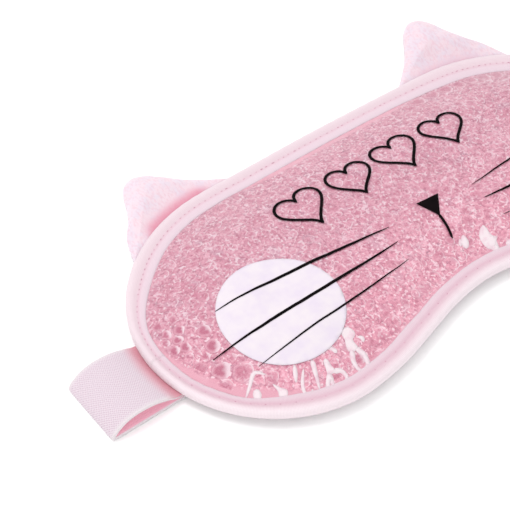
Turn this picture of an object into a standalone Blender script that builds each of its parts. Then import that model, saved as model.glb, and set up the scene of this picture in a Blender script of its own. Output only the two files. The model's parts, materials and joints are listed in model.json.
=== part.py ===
"""Gel bead eye pillow: a soft mask with two plush ears and an elastic head strap.

Metres, +Z up. The mask lies on its back with its window up. The origin is on the plane of symmetry, at the height
where the mask rests, X runs along the mask's length and +Y runs towards the ears.
"""

import math

import bmesh
import bpy
import numpy as np
from mathutils import Matrix, Vector, geometry

MM = 0.001
GAP = 0.3 * MM

# Mask outline, to the outer edge of the binding. The half at +X is described and mirrored.
HALF_LENGTH = 105 * MM
BROW_HEIGHT = 48.8 * MM
SHOULDER = (48 * MM, 48.2 * MM)
TEMPLE_Y = -2.1 * MM
CHEEK = (59 * MM, -48.8 * MM)
NOSE_NOTCH_Y = -37.7 * MM
BROW_STEPS = 5
SHOULDER_STEPS = 8
CHEEK_STEPS = 7
NOSE_STEPS = 4
ARC_HANDLE = 0.5523

# Layers at the sewn edge, from the bottom up.
EDGE_MIDDLE = 4.95 * MM
TAPE = 0.5 * MM
FILM = 0.35 * MM
PLUSH_AT_EDGE = 1.0 * MM
BINDING_WIDTH = 8.3 * MM
BINDING_ROUNDING = 1.2 * MM
LAYER_INSET = 1.4 * MM
SEAM_INSET = 4.75 * MM
THREAD_RADIUS = 0.2 * MM

# Where the films part, how far in each reaches its full height, and how far each moves there.
WELD_INSET = 8.5 * MM
WINDOW_RINGS = [10.5 * MM, 14 * MM, 20 * MM, 27 * MM, 34 * MM]
BACK_RINGS = WINDOW_RINGS[:3]
WINDOW_RISE = 6.2 * MM
BACK_DROP = 2.15 * MM
FILL_CLEARANCE = 0.35 * MM

# Elastic strap, with a tail sewn on at each end of the mask.
STRAP_WIDTH = 23 * MM
STRAP_Y = -3.1 * MM
STRAP = 1.2 * MM
STRAP_FOLD_X = 128 * MM
STRAP_LOOP = 6.0 * MM
STRAP_SEWN_X = 97 * MM
STRAP_LEAVES_X = 104 * MM
STRAP_SPLIT_X = 119 * MM
FOLD_STEPS = 6
GROOVE_SIDE_GAP = 0.5 * MM
GROOVE_CEILING = 1.6 * MM

# Ears: a rounded triangle on the line of each ear's hinge.
EAR_X = 61.5 * MM
EAR_SPLAY = math.radians(15.3)
EAR_HINGE_OFFSET = 1.6 * MM
EAR_BASE_GAP = 1.6 * MM
EAR_HALF_BASE = 22.5 * MM
EAR_APEX = 28 * MM
EAR_BASE_DEPTH = 5 * MM
EAR_TIP_RADIUS = 6 * MM
EAR_CLOTH = 0.7 * MM
EAR_FRONT_CROWN = 3.6 * MM
EAR_BACK_CROWN = 1.8 * MM
EAR_CENTRE = 7 * MM
EAR_RINGS = [1.0, 0.85, 0.6, 0.3]
EAR_BASE_STEPS = 6
EAR_TIP_STEPS = 6
EAR_LEFT_TILT = math.radians(-6)
EAR_RIGHT_TILT = math.radians(8)

BINDING_TOP = EDGE_MIDDLE + 1.95 * MM
BINDING_BOTTOM = EDGE_MIDDLE - 1.95 * MM
PANEL_BOTTOM = BINDING_BOTTOM + TAPE + GAP
BACK_FILM_BOTTOM = PANEL_BOTTOM + PLUSH_AT_EDGE + GAP
WINDOW_FILM_BOTTOM = BACK_FILM_BOTTOM + FILM + GAP


def clear_scene():
    for obj in list(bpy.data.objects):
        bpy.data.objects.remove(obj, do_unlink=True)


def new_collection(name, hidden=False):
    collection = bpy.data.collections.new(name)
    collection.hide_render = hidden
    bpy.context.scene.collection.children.link(collection)
    return collection


def material(name, colour, roughness, alpha=1.0):
    made = bpy.data.materials.new(name)
    made.use_nodes = True
    shader = made.node_tree.nodes["Principled BSDF"]
    shader.inputs["Base Color"].default_value = (*colour, 1.0)
    shader.inputs["Roughness"].default_value = roughness
    shader.inputs["Metallic"].default_value = 0.0
    shader.inputs["Alpha"].default_value = alpha
    return made


# Outline --------------------------------------------------------------------------------------------------------


def bezier(start, start_handle, end_handle, end, steps):
    """The points of one Bezier stretch, without its last."""
    corners = [Vector((*point, 0.0)) for point in (start, start_handle, end_handle, end)]
    points = geometry.interpolate_bezier(*corners, steps + 1)
    return [(point.x, point.y) for point in points[:-1]]


def right_half():
    """From the middle of the brow round the right lobe to the nose notch, without that last point."""
    brow = (0.0, BROW_HEIGHT)
    temple = (HALF_LENGTH, TEMPLE_Y)
    notch = (0.0, NOSE_NOTCH_Y)
    shoulder_reach = ARC_HANDLE * (temple[0] - SHOULDER[0])
    temple_rise = ARC_HANDLE * (SHOULDER[1] - temple[1])
    temple_fall = ARC_HANDLE * (temple[1] - CHEEK[1])
    cheek_reach = ARC_HANDLE * (temple[0] - CHEEK[0])
    third = SHOULDER[0] / 3
    points = bezier(brow, (third, brow[1]), (2 * third, SHOULDER[1]), SHOULDER, BROW_STEPS)
    points += bezier(
        SHOULDER,
        (SHOULDER[0] + shoulder_reach, SHOULDER[1]),
        (temple[0], temple[1] + temple_rise),
        temple,
        SHOULDER_STEPS,
    )
    points += bezier(
        temple,
        (temple[0], temple[1] - temple_fall),
        (CHEEK[0] + cheek_reach, CHEEK[1]),
        CHEEK,
        CHEEK_STEPS,
    )
    points += bezier(
        CHEEK, (0.63 * CHEEK[0], CHEEK[1]), (0.34 * CHEEK[0], notch[1]), notch, NOSE_STEPS
    )
    return points


def whole_outline():
    """The closed outline, anticlockwise from above, starting at the middle of the brow."""
    right = right_half()
    left = [(-x, y) for x, y in right[1:]]
    clockwise = np.array(right + [(0.0, NOSE_NOTCH_Y)] + left[::-1])
    return np.roll(clockwise[::-1], 1, axis=0)


def outward(points):
    """The unit outward direction at each point of a closed anticlockwise outline."""
    along = np.roll(points, -1, axis=0) - np.roll(points, 1, axis=0)
    sideways = np.stack([along[:, 1], -along[:, 0]], axis=1)
    return sideways / np.linalg.norm(sideways, axis=1, keepdims=True)


OUTLINE = whole_outline()
OUTWARD = outward(OUTLINE)


def ring(inset, height):
    """The outline moved inwards by inset, at a height."""
    points = OUTLINE - OUTWARD * inset
    return [(x, y, height) for x, y in points]


def eased(inset, start, end):
    """0 at start, rising as a quarter sine to 1 at end."""
    share = min(max((inset - start) / (end - start), 0.0), 1.0)
    return math.sin(share * math.pi / 2)


def window_height(inset):
    """The underside of the window film."""
    return WINDOW_FILM_BOTTOM + WINDOW_RISE * eased(inset, WELD_INSET, WINDOW_RINGS[-1])


def back_film_top(inset):
    return BACK_FILM_BOTTOM + FILM - BACK_DROP * eased(inset, WELD_INSET, BACK_RINGS[-1])


def panel_bottom(inset):
    """The underside of the plush, which reaches the resting plane at its last ring."""
    return PANEL_BOTTOM * (1 - eased(inset, WELD_INSET, BACK_RINGS[-1]))


# Building blocks ------------------------------------------------------------------------------------------------


def skin(bm, rings, first_cap, last_cap):
    """Quads between rings of equal length, and a flat cap on the first or the last."""
    loops = [[bm.verts.new(point) for point in points] for points in rings]
    for lower, upper in zip(loops, loops[1:]):
        for i in range(len(lower)):
            j = (i + 1) % len(lower)
            bm.faces.new((lower[i], lower[j], upper[j], upper[i]))
    if first_cap:
        bm.faces.new(loops[0][::-1])
    if last_cap:
        bm.faces.new(loops[-1])


def finish_mesh(name, bm, collection, surface, shading_angle=40):
    mesh = bpy.data.meshes.new(name)
    bm.to_mesh(mesh)
    bm.free()
    mesh.shade_smooth()
    mesh.set_sharp_from_angle(angle=math.radians(shading_angle))
    mesh.materials.append(surface)
    obj = bpy.data.objects.new(name, mesh)
    collection.objects.link(obj)
    return obj


def closed_solid(name, rings, collection, surface):
    """A solid lofted through its rings, capped at both ends."""
    bm = bmesh.new()
    skin(bm, rings, first_cap=True, last_cap=True)
    bmesh.ops.recalc_face_normals(bm, faces=bm.faces)
    return finish_mesh(name, bm, collection, surface)


def sheet(name, rings, thickness, collection, surface):
    """A capped dome whose rings run inwards, thickened away from the side its rings lie on."""
    bm = bmesh.new()
    skin(bm, rings, first_cap=False, last_cap=True)
    obj = finish_mesh(name, bm, collection, surface)
    thicken(obj, thickness, offset=1)
    return obj


def thicken(obj, thickness, offset):
    solidify = obj.modifiers.new("thickness", "SOLIDIFY")
    solidify.thickness = thickness
    solidify.offset = offset
    return solidify


def box(name, size, place, collection):
    """A box of a size, centred on a place."""
    bpy.ops.mesh.primitive_cube_add(size=1.0, location=place)
    obj = bpy.context.object
    obj.name = name
    obj.data.transform(Matrix.Diagonal((*size, 1.0)))
    for owner in list(obj.users_collection):
        owner.objects.unlink(obj)
    collection.objects.link(obj)
    return obj


def thread(name, points, cyclic, collection, surface):
    """A sewing thread laid through the points."""
    curve = bpy.data.curves.new(name, "CURVE")
    curve.dimensions = "3D"
    curve.bevel_depth = THREAD_RADIUS
    curve.bevel_resolution = 0
    curve.use_fill_caps = not cyclic
    spline = curve.splines.new("POLY")
    spline.points.add(len(points) - 1)
    for place, point in zip(spline.points, points):
        place.co = (*point, 1.0)
    spline.use_cyclic_u = cyclic
    curve.materials.append(surface)
    obj = bpy.data.objects.new(name, curve)
    collection.objects.link(obj)
    return obj


# Pad ------------------------------------------------------------------------------------------------------------


def make_films(collection, clear_film):
    insets = [LAYER_INSET, WELD_INSET] + WINDOW_RINGS
    rings = [ring(inset, window_height(inset)) for inset in insets]
    sheet("window_film", rings, FILM, collection, clear_film)
    insets = [LAYER_INSET, WELD_INSET] + BACK_RINGS
    rings = [ring(inset, back_film_top(inset)) for inset in insets]
    back = sheet("back_film", rings, FILM, collection, clear_film)
    back.modifiers["thickness"].offset = -1


def make_bead_fill(collection, gel):
    """The beads and the liquid round them, as the one body that they fill."""
    top = [ring(inset, window_height(inset) - FILL_CLEARANCE) for inset in WINDOW_RINGS]
    bottom = [ring(inset, back_film_top(inset) + FILL_CLEARANCE) for inset in BACK_RINGS]
    closed_solid("gel_bead_fill", bottom[::-1] + top, collection, gel)


def make_back_panel(collection, cutters, plush):
    """A plush panel with its pile pressed down under the strap, so that the strap lies level with it."""
    insets = [LAYER_INSET, WELD_INSET] + BACK_RINGS
    under = [ring(inset, panel_bottom(inset)) for inset in insets]
    over = [ring(inset, back_film_top(inset) - FILM - GAP) for inset in insets]
    panel = closed_solid("back_panel", under[::-1] + over, collection, plush)

    width = STRAP_WIDTH + 2 * GROOVE_SIDE_GAP
    size = (3 * HALF_LENGTH, width, 2 * GROOVE_CEILING)
    groove = box("strap_groove_cutter", size, (0.0, STRAP_Y, 0.0), cutters)
    groove.hide_render = True
    groove.display_type = "WIRE"

    cut = panel.modifiers.new("strap_groove", "BOOLEAN")
    cut.operation = "DIFFERENCE"
    cut.solver = "EXACT"
    cut.object = groove


def make_binding(collection, tape):
    """One folded tape round the edge, open towards the middle of the mask."""
    middle = EDGE_MIDDLE
    cheek = (BINDING_TOP - middle) - BINDING_ROUNDING
    section = [
        (BINDING_WIDTH, BINDING_TOP),
        (BINDING_ROUNDING, BINDING_TOP),
        (0.0, middle + cheek),
        (0.0, middle - cheek),
        (BINDING_ROUNDING, BINDING_BOTTOM),
        (BINDING_WIDTH, BINDING_BOTTOM),
    ]
    bm = bmesh.new()
    skin(bm, [ring(*point) for point in section[::-1]], first_cap=False, last_cap=False)
    obj = finish_mesh("edge_binding", bm, collection, tape)
    thicken(obj, TAPE, offset=-1)


def make_seam(collection, cotton):
    """The lockstitch through the binding: one thread on top, and one below that stops at the strap's tails."""
    rise = GAP + THREAD_RADIUS
    thread("needle_thread", ring(SEAM_INSET, BINDING_TOP + rise), True, collection, cotton)
    below = ring(SEAM_INSET, BINDING_BOTTOM - rise)
    clear = STRAP_WIDTH / 2 + 2 * MM
    above_strap = [p for p in below if p[1] > STRAP_Y + clear]
    under_strap = [p for p in below if p[1] < STRAP_Y - clear]
    above_strap.sort(key=lambda p: p[0])
    under_strap.sort(key=lambda p: p[0])
    thread("bobbin_thread_brow", above_strap, False, collection, cotton)
    thread("bobbin_thread_nose", under_strap, False, collection, cotton)


# Strap ----------------------------------------------------------------------------------------------------------


def tail_path():
    """The tail at +X from under the binding out to its fold and back below, as (x, z) along its middle."""
    low = STRAP / 2
    sewn = BINDING_BOTTOM - GAP - STRAP / 2
    radius = (STRAP_LOOP - low) / 2
    fold_x = STRAP_FOLD_X - STRAP / 2 - radius
    path = [(STRAP_SEWN_X, sewn), (STRAP_LEAVES_X, sewn)]
    rise = (fold_x - STRAP_LEAVES_X) / 3
    path.append((STRAP_LEAVES_X + rise, sewn + 0.55 * (STRAP_LOOP - sewn)))
    path.append((STRAP_LEAVES_X + 2 * rise, STRAP_LOOP - 0.2 * MM))
    for i in range(FOLD_STEPS + 1):
        angle = math.pi / 2 - math.pi * i / FOLD_STEPS
        path.append((fold_x + radius * math.cos(angle), low + radius + radius * math.sin(angle)))
    path.append((STRAP_SPLIT_X, low))
    return path


def make_tail(name, side, collection, elastic):
    bm = bmesh.new()
    edges = (STRAP_Y - STRAP_WIDTH / 2, STRAP_Y + STRAP_WIDTH / 2)
    rows = [[bm.verts.new((side * x, y, z)) for y in edges] for x, z in tail_path()]
    for here, there in zip(rows, rows[1:]):
        bm.faces.new((here[0], there[0], there[1], here[1]))
    obj = finish_mesh(name, bm, collection, elastic, shading_angle=60)
    thicken(obj, STRAP, offset=0)


def make_band(collection, elastic):
    """The run of the strap that goes behind the head."""
    size = (2 * (STRAP_SPLIT_X - GAP), STRAP_WIDTH, STRAP)
    band = box("strap_band", size, (0.0, STRAP_Y, STRAP / 2), collection)
    band.data.materials.append(elastic)


# Ears -----------------------------------------------------------------------------------------------------------


def ear_hinge(side):
    """The hinge point on the mask's edge, with the ear's outward direction."""
    across = np.array([side * math.sin(EAR_SPLAY), math.cos(EAR_SPLAY)])
    brow = OUTLINE[OUTLINE[:, 1] > 0]
    order = np.argsort(brow[:, 0])
    edge_y = np.interp(side * EAR_X, brow[order, 0], brow[order, 1])
    return np.array([side * EAR_X, edge_y]) + across * EAR_HINGE_OFFSET, across


def ear_base(side, along):
    """How far out the mask's edge lies at each place along the ear's hinge line, in the ear's own frame."""
    hinge, across = ear_hinge(side)
    line = np.array([across[1], -across[0]])
    edge = OUTLINE + OUTWARD * EAR_BASE_GAP - hinge
    near = edge[edge @ across > -BROW_HEIGHT / 2]
    order = np.argsort(near @ line)
    return np.interp(along, (near @ line)[order], (near @ across)[order])


def ear_rim(side):
    """The ear's outline in its own frame: its base along the mask's edge, then two sides and a rounded tip."""
    along = np.linspace(-EAR_HALF_BASE, EAR_HALF_BASE, EAR_BASE_STEPS + 1)
    rim = list(zip(along, ear_base(side, along)))
    half_angle = math.atan(EAR_HALF_BASE / (EAR_APEX + EAR_BASE_DEPTH))
    centre = EAR_APEX - EAR_TIP_RADIUS / math.sin(half_angle)
    for i in range(EAR_TIP_STEPS + 1):
        angle = half_angle + (math.pi - 2 * half_angle) * i / EAR_TIP_STEPS
        rim.append((EAR_TIP_RADIUS * math.cos(angle), centre + EAR_TIP_RADIUS * math.sin(angle)))
    return np.array(rim)


def ear_ring(rim, scale, height):
    centre = np.array([0.0, EAR_CENTRE])
    return [(x, y, height) for x, y in centre + scale * (rim - centre)]


def ear_height(scale, crown):
    """The inner face of an ear's cloth above the ear's middle plane."""
    return GAP / 2 + crown * (1 - scale * scale) ** 0.6


def make_ear(name, side, tilt, collection, plush, wadding):
    hinge, across = ear_hinge(side)
    root = bpy.data.objects.new(f"{name}_hinge", None)
    root.location = (*hinge, EDGE_MIDDLE)
    root.rotation_euler = (tilt, 0.0, -side * EAR_SPLAY)
    collection.objects.link(root)

    rim = ear_rim(side)
    front = [ear_ring(rim, s, ear_height(s, EAR_FRONT_CROWN)) for s in EAR_RINGS]
    back = [ear_ring(rim, s, -ear_height(s, EAR_BACK_CROWN)) for s in EAR_RINGS]
    front_cloth = sheet(f"{name}_front_cloth", front, EAR_CLOTH, collection, plush)
    back_cloth = sheet(f"{name}_back_cloth", back, EAR_CLOTH, collection, plush)
    back_cloth.modifiers["thickness"].offset = -1
    over = [ear_ring(rim, s, ear_height(s, EAR_FRONT_CROWN) - GAP) for s in EAR_RINGS[1:]]
    under = [ear_ring(rim, s, GAP - ear_height(s, EAR_BACK_CROWN)) for s in EAR_RINGS[1:]]
    filling = closed_solid(f"{name}_wadding", under[::-1] + over, collection, wadding)
    for obj in (front_cloth, back_cloth, filling):
        obj.parent = root


def main():
    clear_scene()
    parts = new_collection("eye_pillow")
    cutters = new_collection("cutters", hidden=True)

    clear_film = material("clear_film", (0.84, 0.55, 0.62), 0.08, alpha=0.35)
    gel = material("gel_beads", (0.80, 0.40, 0.48), 0.15)
    plush = material("back_plush", (0.93, 0.76, 0.82), 0.95)
    tape = material("binding_tape", (0.95, 0.80, 0.86), 0.80)
    cotton = material("thread", (0.84, 0.58, 0.66), 0.60)
    elastic = material("elastic_webbing", (0.87, 0.72, 0.79), 0.75)
    ear_plush = material("ear_plush", (0.95, 0.80, 0.86), 0.95)
    wadding = material("wadding", (0.95, 0.95, 0.94), 1.00)

    make_films(parts, clear_film)
    make_bead_fill(parts, gel)
    make_back_panel(parts, cutters, plush)
    make_binding(parts, tape)
    make_seam(parts, cotton)
    make_tail("strap_tail_left", -1, parts, elastic)
    make_tail("strap_tail_right", 1, parts, elastic)
    make_band(parts, elastic)
    make_ear("ear_left", -1, EAR_LEFT_TILT, parts, ear_plush, wadding)
    make_ear("ear_right", 1, EAR_RIGHT_TILT, parts, ear_plush, wadding)


main()
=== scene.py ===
import json
import math

import bmesh
import bpy
import numpy as np
from mathutils import Matrix, Vector, geometry, noise


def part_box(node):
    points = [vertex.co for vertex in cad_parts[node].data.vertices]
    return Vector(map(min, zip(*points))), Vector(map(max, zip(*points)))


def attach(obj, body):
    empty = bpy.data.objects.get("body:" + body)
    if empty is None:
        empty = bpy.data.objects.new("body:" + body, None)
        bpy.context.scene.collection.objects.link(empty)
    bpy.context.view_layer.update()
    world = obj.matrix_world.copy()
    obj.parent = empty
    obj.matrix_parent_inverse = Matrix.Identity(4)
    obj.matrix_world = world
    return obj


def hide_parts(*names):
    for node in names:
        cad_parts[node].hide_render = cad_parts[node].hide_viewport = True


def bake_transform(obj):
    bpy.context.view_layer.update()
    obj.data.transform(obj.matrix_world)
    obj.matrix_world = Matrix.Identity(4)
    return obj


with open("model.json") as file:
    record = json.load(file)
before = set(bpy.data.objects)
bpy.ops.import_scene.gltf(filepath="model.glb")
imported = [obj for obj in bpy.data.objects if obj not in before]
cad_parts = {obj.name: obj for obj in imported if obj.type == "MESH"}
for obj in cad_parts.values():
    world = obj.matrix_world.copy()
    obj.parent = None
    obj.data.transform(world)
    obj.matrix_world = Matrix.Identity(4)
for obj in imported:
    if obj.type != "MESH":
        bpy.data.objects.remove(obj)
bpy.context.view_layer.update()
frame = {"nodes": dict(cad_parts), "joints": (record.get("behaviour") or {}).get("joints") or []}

MM = 0.001

# === Outline and layers ===

RIM_BELOW_TOP = 1.2 * MM  # the height of the binding's widest line, below its top
OUTLINE_POINTS = 640
CROWN_INSET = 34 * MM  # where the window reaches its full height
FILM_EDGE_INSET = 4.2 * MM  # the film's hidden edge, under the binding
FILM_THICKNESS = 0.12 * MM
GEL_GAP = 0.03 * MM  # between the film and the gel under it
BROW_WIDTH = 8.3 * MM  # the binding's width along the brow
WIDE_EXTRA = 2.0 * MM  # and how much wider it is sewn towards +X there
NOSE_WIDTH = 6.9 * MM  # its width along the nose side
END_WIDTH = 5.0 * MM  # and round the ends
NOSE_DROP = 0.7 * MM  # how much thinner the pad's edge is along the nose side

# Colours are given as they look under the studio's light, which brightens a surface by this much.
LIGHT_LEVEL = 1.45

SEED = 7


def vertices_of(obj):
    flat = np.empty(len(obj.data.vertices) * 3)
    obj.data.vertices.foreach_get("co", flat)
    return flat.reshape(-1, 3)


def flat_points(obj):
    """The (x, y) of each vertex."""
    return vertices_of(obj)[:, :2]


def run_along(points):
    """How far along a line each of its points is."""
    return np.concatenate([[0], np.cumsum(np.linalg.norm(np.diff(points, axis=0), axis=1))])


def smooth_curve(points, count, closed=False):
    """A smooth curve through points, as count points at equal steps."""
    if closed:
        padded = np.vstack([points[-1:], points, points[:2]])
    else:
        padded = np.vstack([2 * points[0] - points[1], points, 2 * points[-1] - points[-2]])
    share = np.linspace(0, 1, 24, endpoint=not closed)[None, :, None]
    p0, p1, p2, p3 = (padded[k : len(padded) - 3 + k, None, :] for k in range(4))
    fine = 0.5 * (
        2 * p1
        + (p2 - p0) * share
        + (2 * p0 - 5 * p1 + 4 * p2 - p3) * share**2
        + (3 * p1 - p0 - 3 * p2 + p3) * share**3
    )
    fine = fine.reshape(-1, points.shape[1])
    if closed:
        fine = np.vstack([fine, fine[:1]])
    run = run_along(fine)
    wanted = np.linspace(0, run[-1], count, endpoint=not closed)
    return np.stack([np.interp(wanted, run, column) for column in fine.T], axis=1)


def outward_of(points):
    along = np.roll(points, -1, axis=0) - np.roll(points, 1, axis=0)
    sideways = np.stack([along[:, 1], -along[:, 0]], axis=1)
    return sideways / np.linalg.norm(sideways, axis=1, keepdims=True)


def read_outline():
    """The mask's outline, anticlockwise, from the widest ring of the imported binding."""
    points = vertices_of(frame["nodes"]["edge_binding"])
    level = points[:, 2].max() - RIM_BELOW_TOP
    rim = points[np.abs(points[:, 2] - level) < 0.05 * MM][:, :2]
    rim = np.unique(np.round(rim, 6), axis=0)
    rim = rim[np.argsort(np.arctan2(rim[:, 1], rim[:, 0]))]
    return smooth_curve(rim, OUTLINE_POINTS, closed=True)


OUTLINE = read_outline()
OUTWARD = outward_of(OUTLINE)
OUTLINE_STEP = np.linalg.norm(OUTLINE[1] - OUTLINE[0])
BINDING_LOW, BINDING_HIGH = (corner.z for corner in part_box("edge_binding"))
EDGE_MIDDLE = (BINDING_LOW + BINDING_HIGH) / 2
FILM_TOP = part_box("window_film")[1].z
FILM_EDGE_TOP = BINDING_HIGH - 0.15 * MM
PANEL_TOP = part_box("back_panel")[1].z


def offset_outline(inset, step=1):
    return (OUTLINE - OUTWARD * inset)[::step]


def measure_inset(points):
    """How far inside the outline each point lies, or less than zero outside it."""
    inset = np.empty(len(points))
    for start in range(0, len(points), 4000):
        block = points[start : start + 4000]
        apart = block[:, None, :] - OUTLINE[None, :, :]
        distance = (apart**2).sum(axis=2)
        nearest = distance.argmin(axis=1)
        row = np.arange(len(block))
        outside = (apart[row, nearest] * OUTWARD[nearest]).sum(axis=1) > 0
        inset[start : start + 4000] = np.sqrt(distance[row, nearest]) * np.where(outside, -1, 1)
    return inset


def on_grid(function, step):
    """The same function of (x, y), worked out once on a grid and interpolated from then on."""
    low = OUTLINE.min(axis=0) - 2 * step
    counts = np.ceil((OUTLINE.max(axis=0) - low) / step).astype(int) + 3
    places = np.stack(np.meshgrid(*(np.arange(n) * step for n in counts), indexing="ij"), axis=-1)
    values = function(places.reshape(-1, 2) + low).reshape(counts)

    def look_up(points):
        at = np.clip((points - low) / step, 0, counts - 1.001)
        cell = at.astype(int)
        (i, j), (u, v) = cell.T, (at - cell).T
        return (
            values[i, j] * (1 - u) * (1 - v)
            + values[i + 1, j] * u * (1 - v)
            + values[i, j + 1] * (1 - u) * v
            + values[i + 1, j + 1] * u * v
        )

    return look_up


def smoothstep(low, high, value):
    """0 where a value is at or below low, rising to 1 at high."""
    share = np.clip((value - low) / (high - low), 0, 1)
    return share * share * (3 - 2 * share)


def ease(low, high, value):
    """The same between two limits in mm."""
    return smoothstep(low * MM, high * MM, value)


def waves(points, size, seed):
    """Smooth noise between -1 and 1 at each point, with features of a size."""
    offset = Vector((seed * 3.7, seed * 1.3, seed * 2.1))
    return np.array([noise.noise(Vector((x, y, 0.0)) / size + offset) for x, y in points])


inset_of = on_grid(measure_inset, 0.5 * MM)


def nose_side(points):
    """0 along the brow and 1 along the nose side."""
    return ease(16, -20, points[..., 1])


def binding_width(points):
    end = ease(80, 98, np.abs(points[..., 0]))
    end = end * ease(36, 8, points[..., 1])
    wide = WIDE_EXTRA * ease(26, 60, points[..., 0])
    width = BROW_WIDTH + wide + (NOSE_WIDTH - BROW_WIDTH - wide) * nose_side(points)
    return width + (END_WIDTH - width) * end


def edge_drop(points):
    return NOSE_DROP * nose_side(points)


def measure_dome(points):
    """The window film's top, before the beads press into it."""
    weld = binding_width(points)
    share = np.clip((inset_of(points) - weld) / (CROWN_INSET - weld), 0, 1)
    rise = np.sin(share * math.pi / 2)
    lumps = 0.55 * MM * waves(points, 15 * MM, SEED) + 0.25 * MM * waves(points, 7 * MM, SEED + 1)
    edge = FILM_EDGE_TOP - edge_drop(points)
    return edge + (FILM_TOP - edge - 0.3 * MM) * rise + lumps * rise


dome = on_grid(measure_dome, 0.5 * MM)


# === Beads: where they are ===

# Where the beads part a little: (x, y, reach) in mm, and the widest gap there.
AIR_ZONES = [
    (-63, -37, 17, 0.35),
    (10, -29, 10, 0.35),
    (63, -37, 17, 0.35),
    (-96, -16, 13, 0.25),
    (96, -16, 13, 0.25),
]


def measure_air(points):
    """How wide the gaps between beads are, in mm, from the zones with trapped air."""
    widest = np.zeros(len(points))
    for x, y, reach, gap in AIR_ZONES:
        distance = np.hypot(points[:, 0] - x * MM, points[:, 1] - y * MM)
        widest = np.maximum(widest, gap * (1 - smoothstep(0.45 * reach * MM, reach * MM, distance)))
    return widest * np.clip(0.75 + 1.1 * waves(points, 5 * MM, SEED + 2), 0, 1.2)


air_gap = on_grid(measure_air, 0.8 * MM)


def bare_margin(places):
    """How far in from the outline the beads start: the film's welded margin is bare."""
    x, y = places[..., 0], places[..., 1]
    far_end = ease(70, 88, np.abs(x))
    along_brow = ease(6, 24, y) * ease(-46, -20, x)
    along_brow = along_brow * ease(38, 26, x)
    bare = 0.3 + nose_side(places) * (0.6 + 1.7 * far_end) + 2.0 * along_brow
    return binding_width(places) + bare * MM


def bead_radius(place, room, draw):
    """Mostly small beads, with larger ones along the edge of the window."""
    if place[1] < -6 * MM and room < 7 * MM:
        return (1.3 + 1.4 * draw) * MM
    if room < 4 * MM:
        return (1.3 + 0.8 * draw) * MM
    return (1.1 + 0.9 * draw) * MM


# The largest beads, at one end of the window: (x, y, radius) in mm, and how dark each one's core is.
LARGE_BEADS = [
    (-95.0, -12.8, 3.2, 0.6), (-90.8, -17.6, 3.3, 0.9), (-86.2, -22.0, 3.3, 0.5),
    (-92.6, -22.4, 2.4, 0.4), (-86.5, -3.8, 2.5, 0.9), (-87.9, -9.7, 2.7, 1.0),
    (-91.2, -10.8, 1.6, 0.8), (-91.5, 1.9, 1.7, 1.0), (-94.0, -0.5, 1.4, 1.0),
    (-97.0, -2.9, 1.7, 1.0), (-93.8, -4.1, 1.9, 1.0), (-95.7, 3.6, 1.4, 0.8),
    (-97.4, 1.3, 1.3, 0.7), (-95.5, 7.8, 1.5, 0.8), (-55.0, -38.6, 1.9, 0.7),
    (-64.4, -40.0, 1.8, 0.6), (-80.4, -28.6, 2.4, 0.4), (3.1, -31.9, 2.4, 0.3),
]
EDGE_BEAD = 3.1 * MM
BEAD_TRIES = 36000
PACKING = 0.80  # how close two beads may come, as a share of their radii's sum
PRESSED_REACH = 1.35  # how far a pressed bead may spread, as a share of its radius


def edge_row():
    """The middles of a row of large beads against the binding, along the brow at +X."""
    middles = OUTLINE - OUTWARD * (binding_width(OUTLINE) + 0.9 * EDGE_BEAD)[:, None]
    row = middles[(middles[:, 0] > 36 * MM) & (middles[:, 1] > 14 * MM)]
    return row[:: round(2.05 * EDGE_BEAD / OUTLINE_STEP)]


def scatter_beads(generator):
    """The large beads, then smaller ones at random places where there is room: (x, y, radius, core) each."""
    low, high = OUTLINE.min(axis=0), OUTLINE.max(axis=0)
    tries = low + (high - low) * generator.random((BEAD_TRIES, 2))
    rooms = inset_of(tries) - bare_margin(tries)
    draws = generator.random(BEAD_TRIES)
    large = [(x * MM, y * MM, radius * MM, core) for x, y, radius, core in LARGE_BEADS]
    large += [(x, y, EDGE_BEAD, 0.5) for x, y in edge_row()]
    count = len(large)
    beads = np.empty((BEAD_TRIES, 4))
    beads[:count] = large
    for place, room, draw in zip(tries, rooms, draws):
        radius = bead_radius(place, room, draw)
        apart = np.hypot(*(beads[:count, :2] - place).T)
        if room >= 0.75 * radius and (apart >= PACKING * (radius + beads[:count, 2])).all():
            beads[count] = (*place, radius, 0.0)
            count += 1
    return beads[:count]


CELL_SIDES = 24
CELL_SHARPNESS = 9.0  # how sharp a pressed bead's corners are
CELL_ANGLES = np.arange(CELL_SIDES) * 2 * math.pi / CELL_SIDES
CELL_RAYS = np.column_stack([np.cos(CELL_ANGLES), np.sin(CELL_ANGLES)])


def pressed_cells():
    """Each bead's outline where its neighbours and the binding press it, as radii at even angles."""
    centres, sizes = BEADS[:, :2], BEADS[:, 2]
    gaps = (0.04 + air_gap(centres)) * MM
    rooms = inset_of(centres) - bare_margin(centres)
    cells = np.empty((len(BEADS), CELL_SIDES))
    for k, (centre, size) in enumerate(zip(centres, sizes)):
        apart = centres - centre
        distance = np.hypot(*apart.T)
        near = (distance > 0) & (distance < 1.6 * (size + sizes))
        wall = distance[near] * size / (size + sizes[near]) - gaps[k] / 2
        towards = (apart[near] / distance[near][:, None]) @ CELL_RAYS.T
        outward = OUTWARD[((OUTLINE - centre) ** 2).sum(axis=1).argmin()] @ CELL_RAYS.T
        limits = [
            wall[:, None] / np.maximum(towards, 0.04),
            max(rooms[k], 0.3 * size) / np.maximum(outward, 0.04),
            np.full(CELL_SIDES, PRESSED_REACH * size),
        ]
        cells[k] = (np.vstack(limits) ** -CELL_SHARPNESS).sum(axis=0) ** (-1 / CELL_SHARPNESS)
    return cells


RANDOM = np.random.default_rng(SEED)
BEADS = scatter_beads(RANDOM)
BEAD_LIFT = (RANDOM.random(len(BEADS)) - 0.5) * 0.10 * MM


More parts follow.
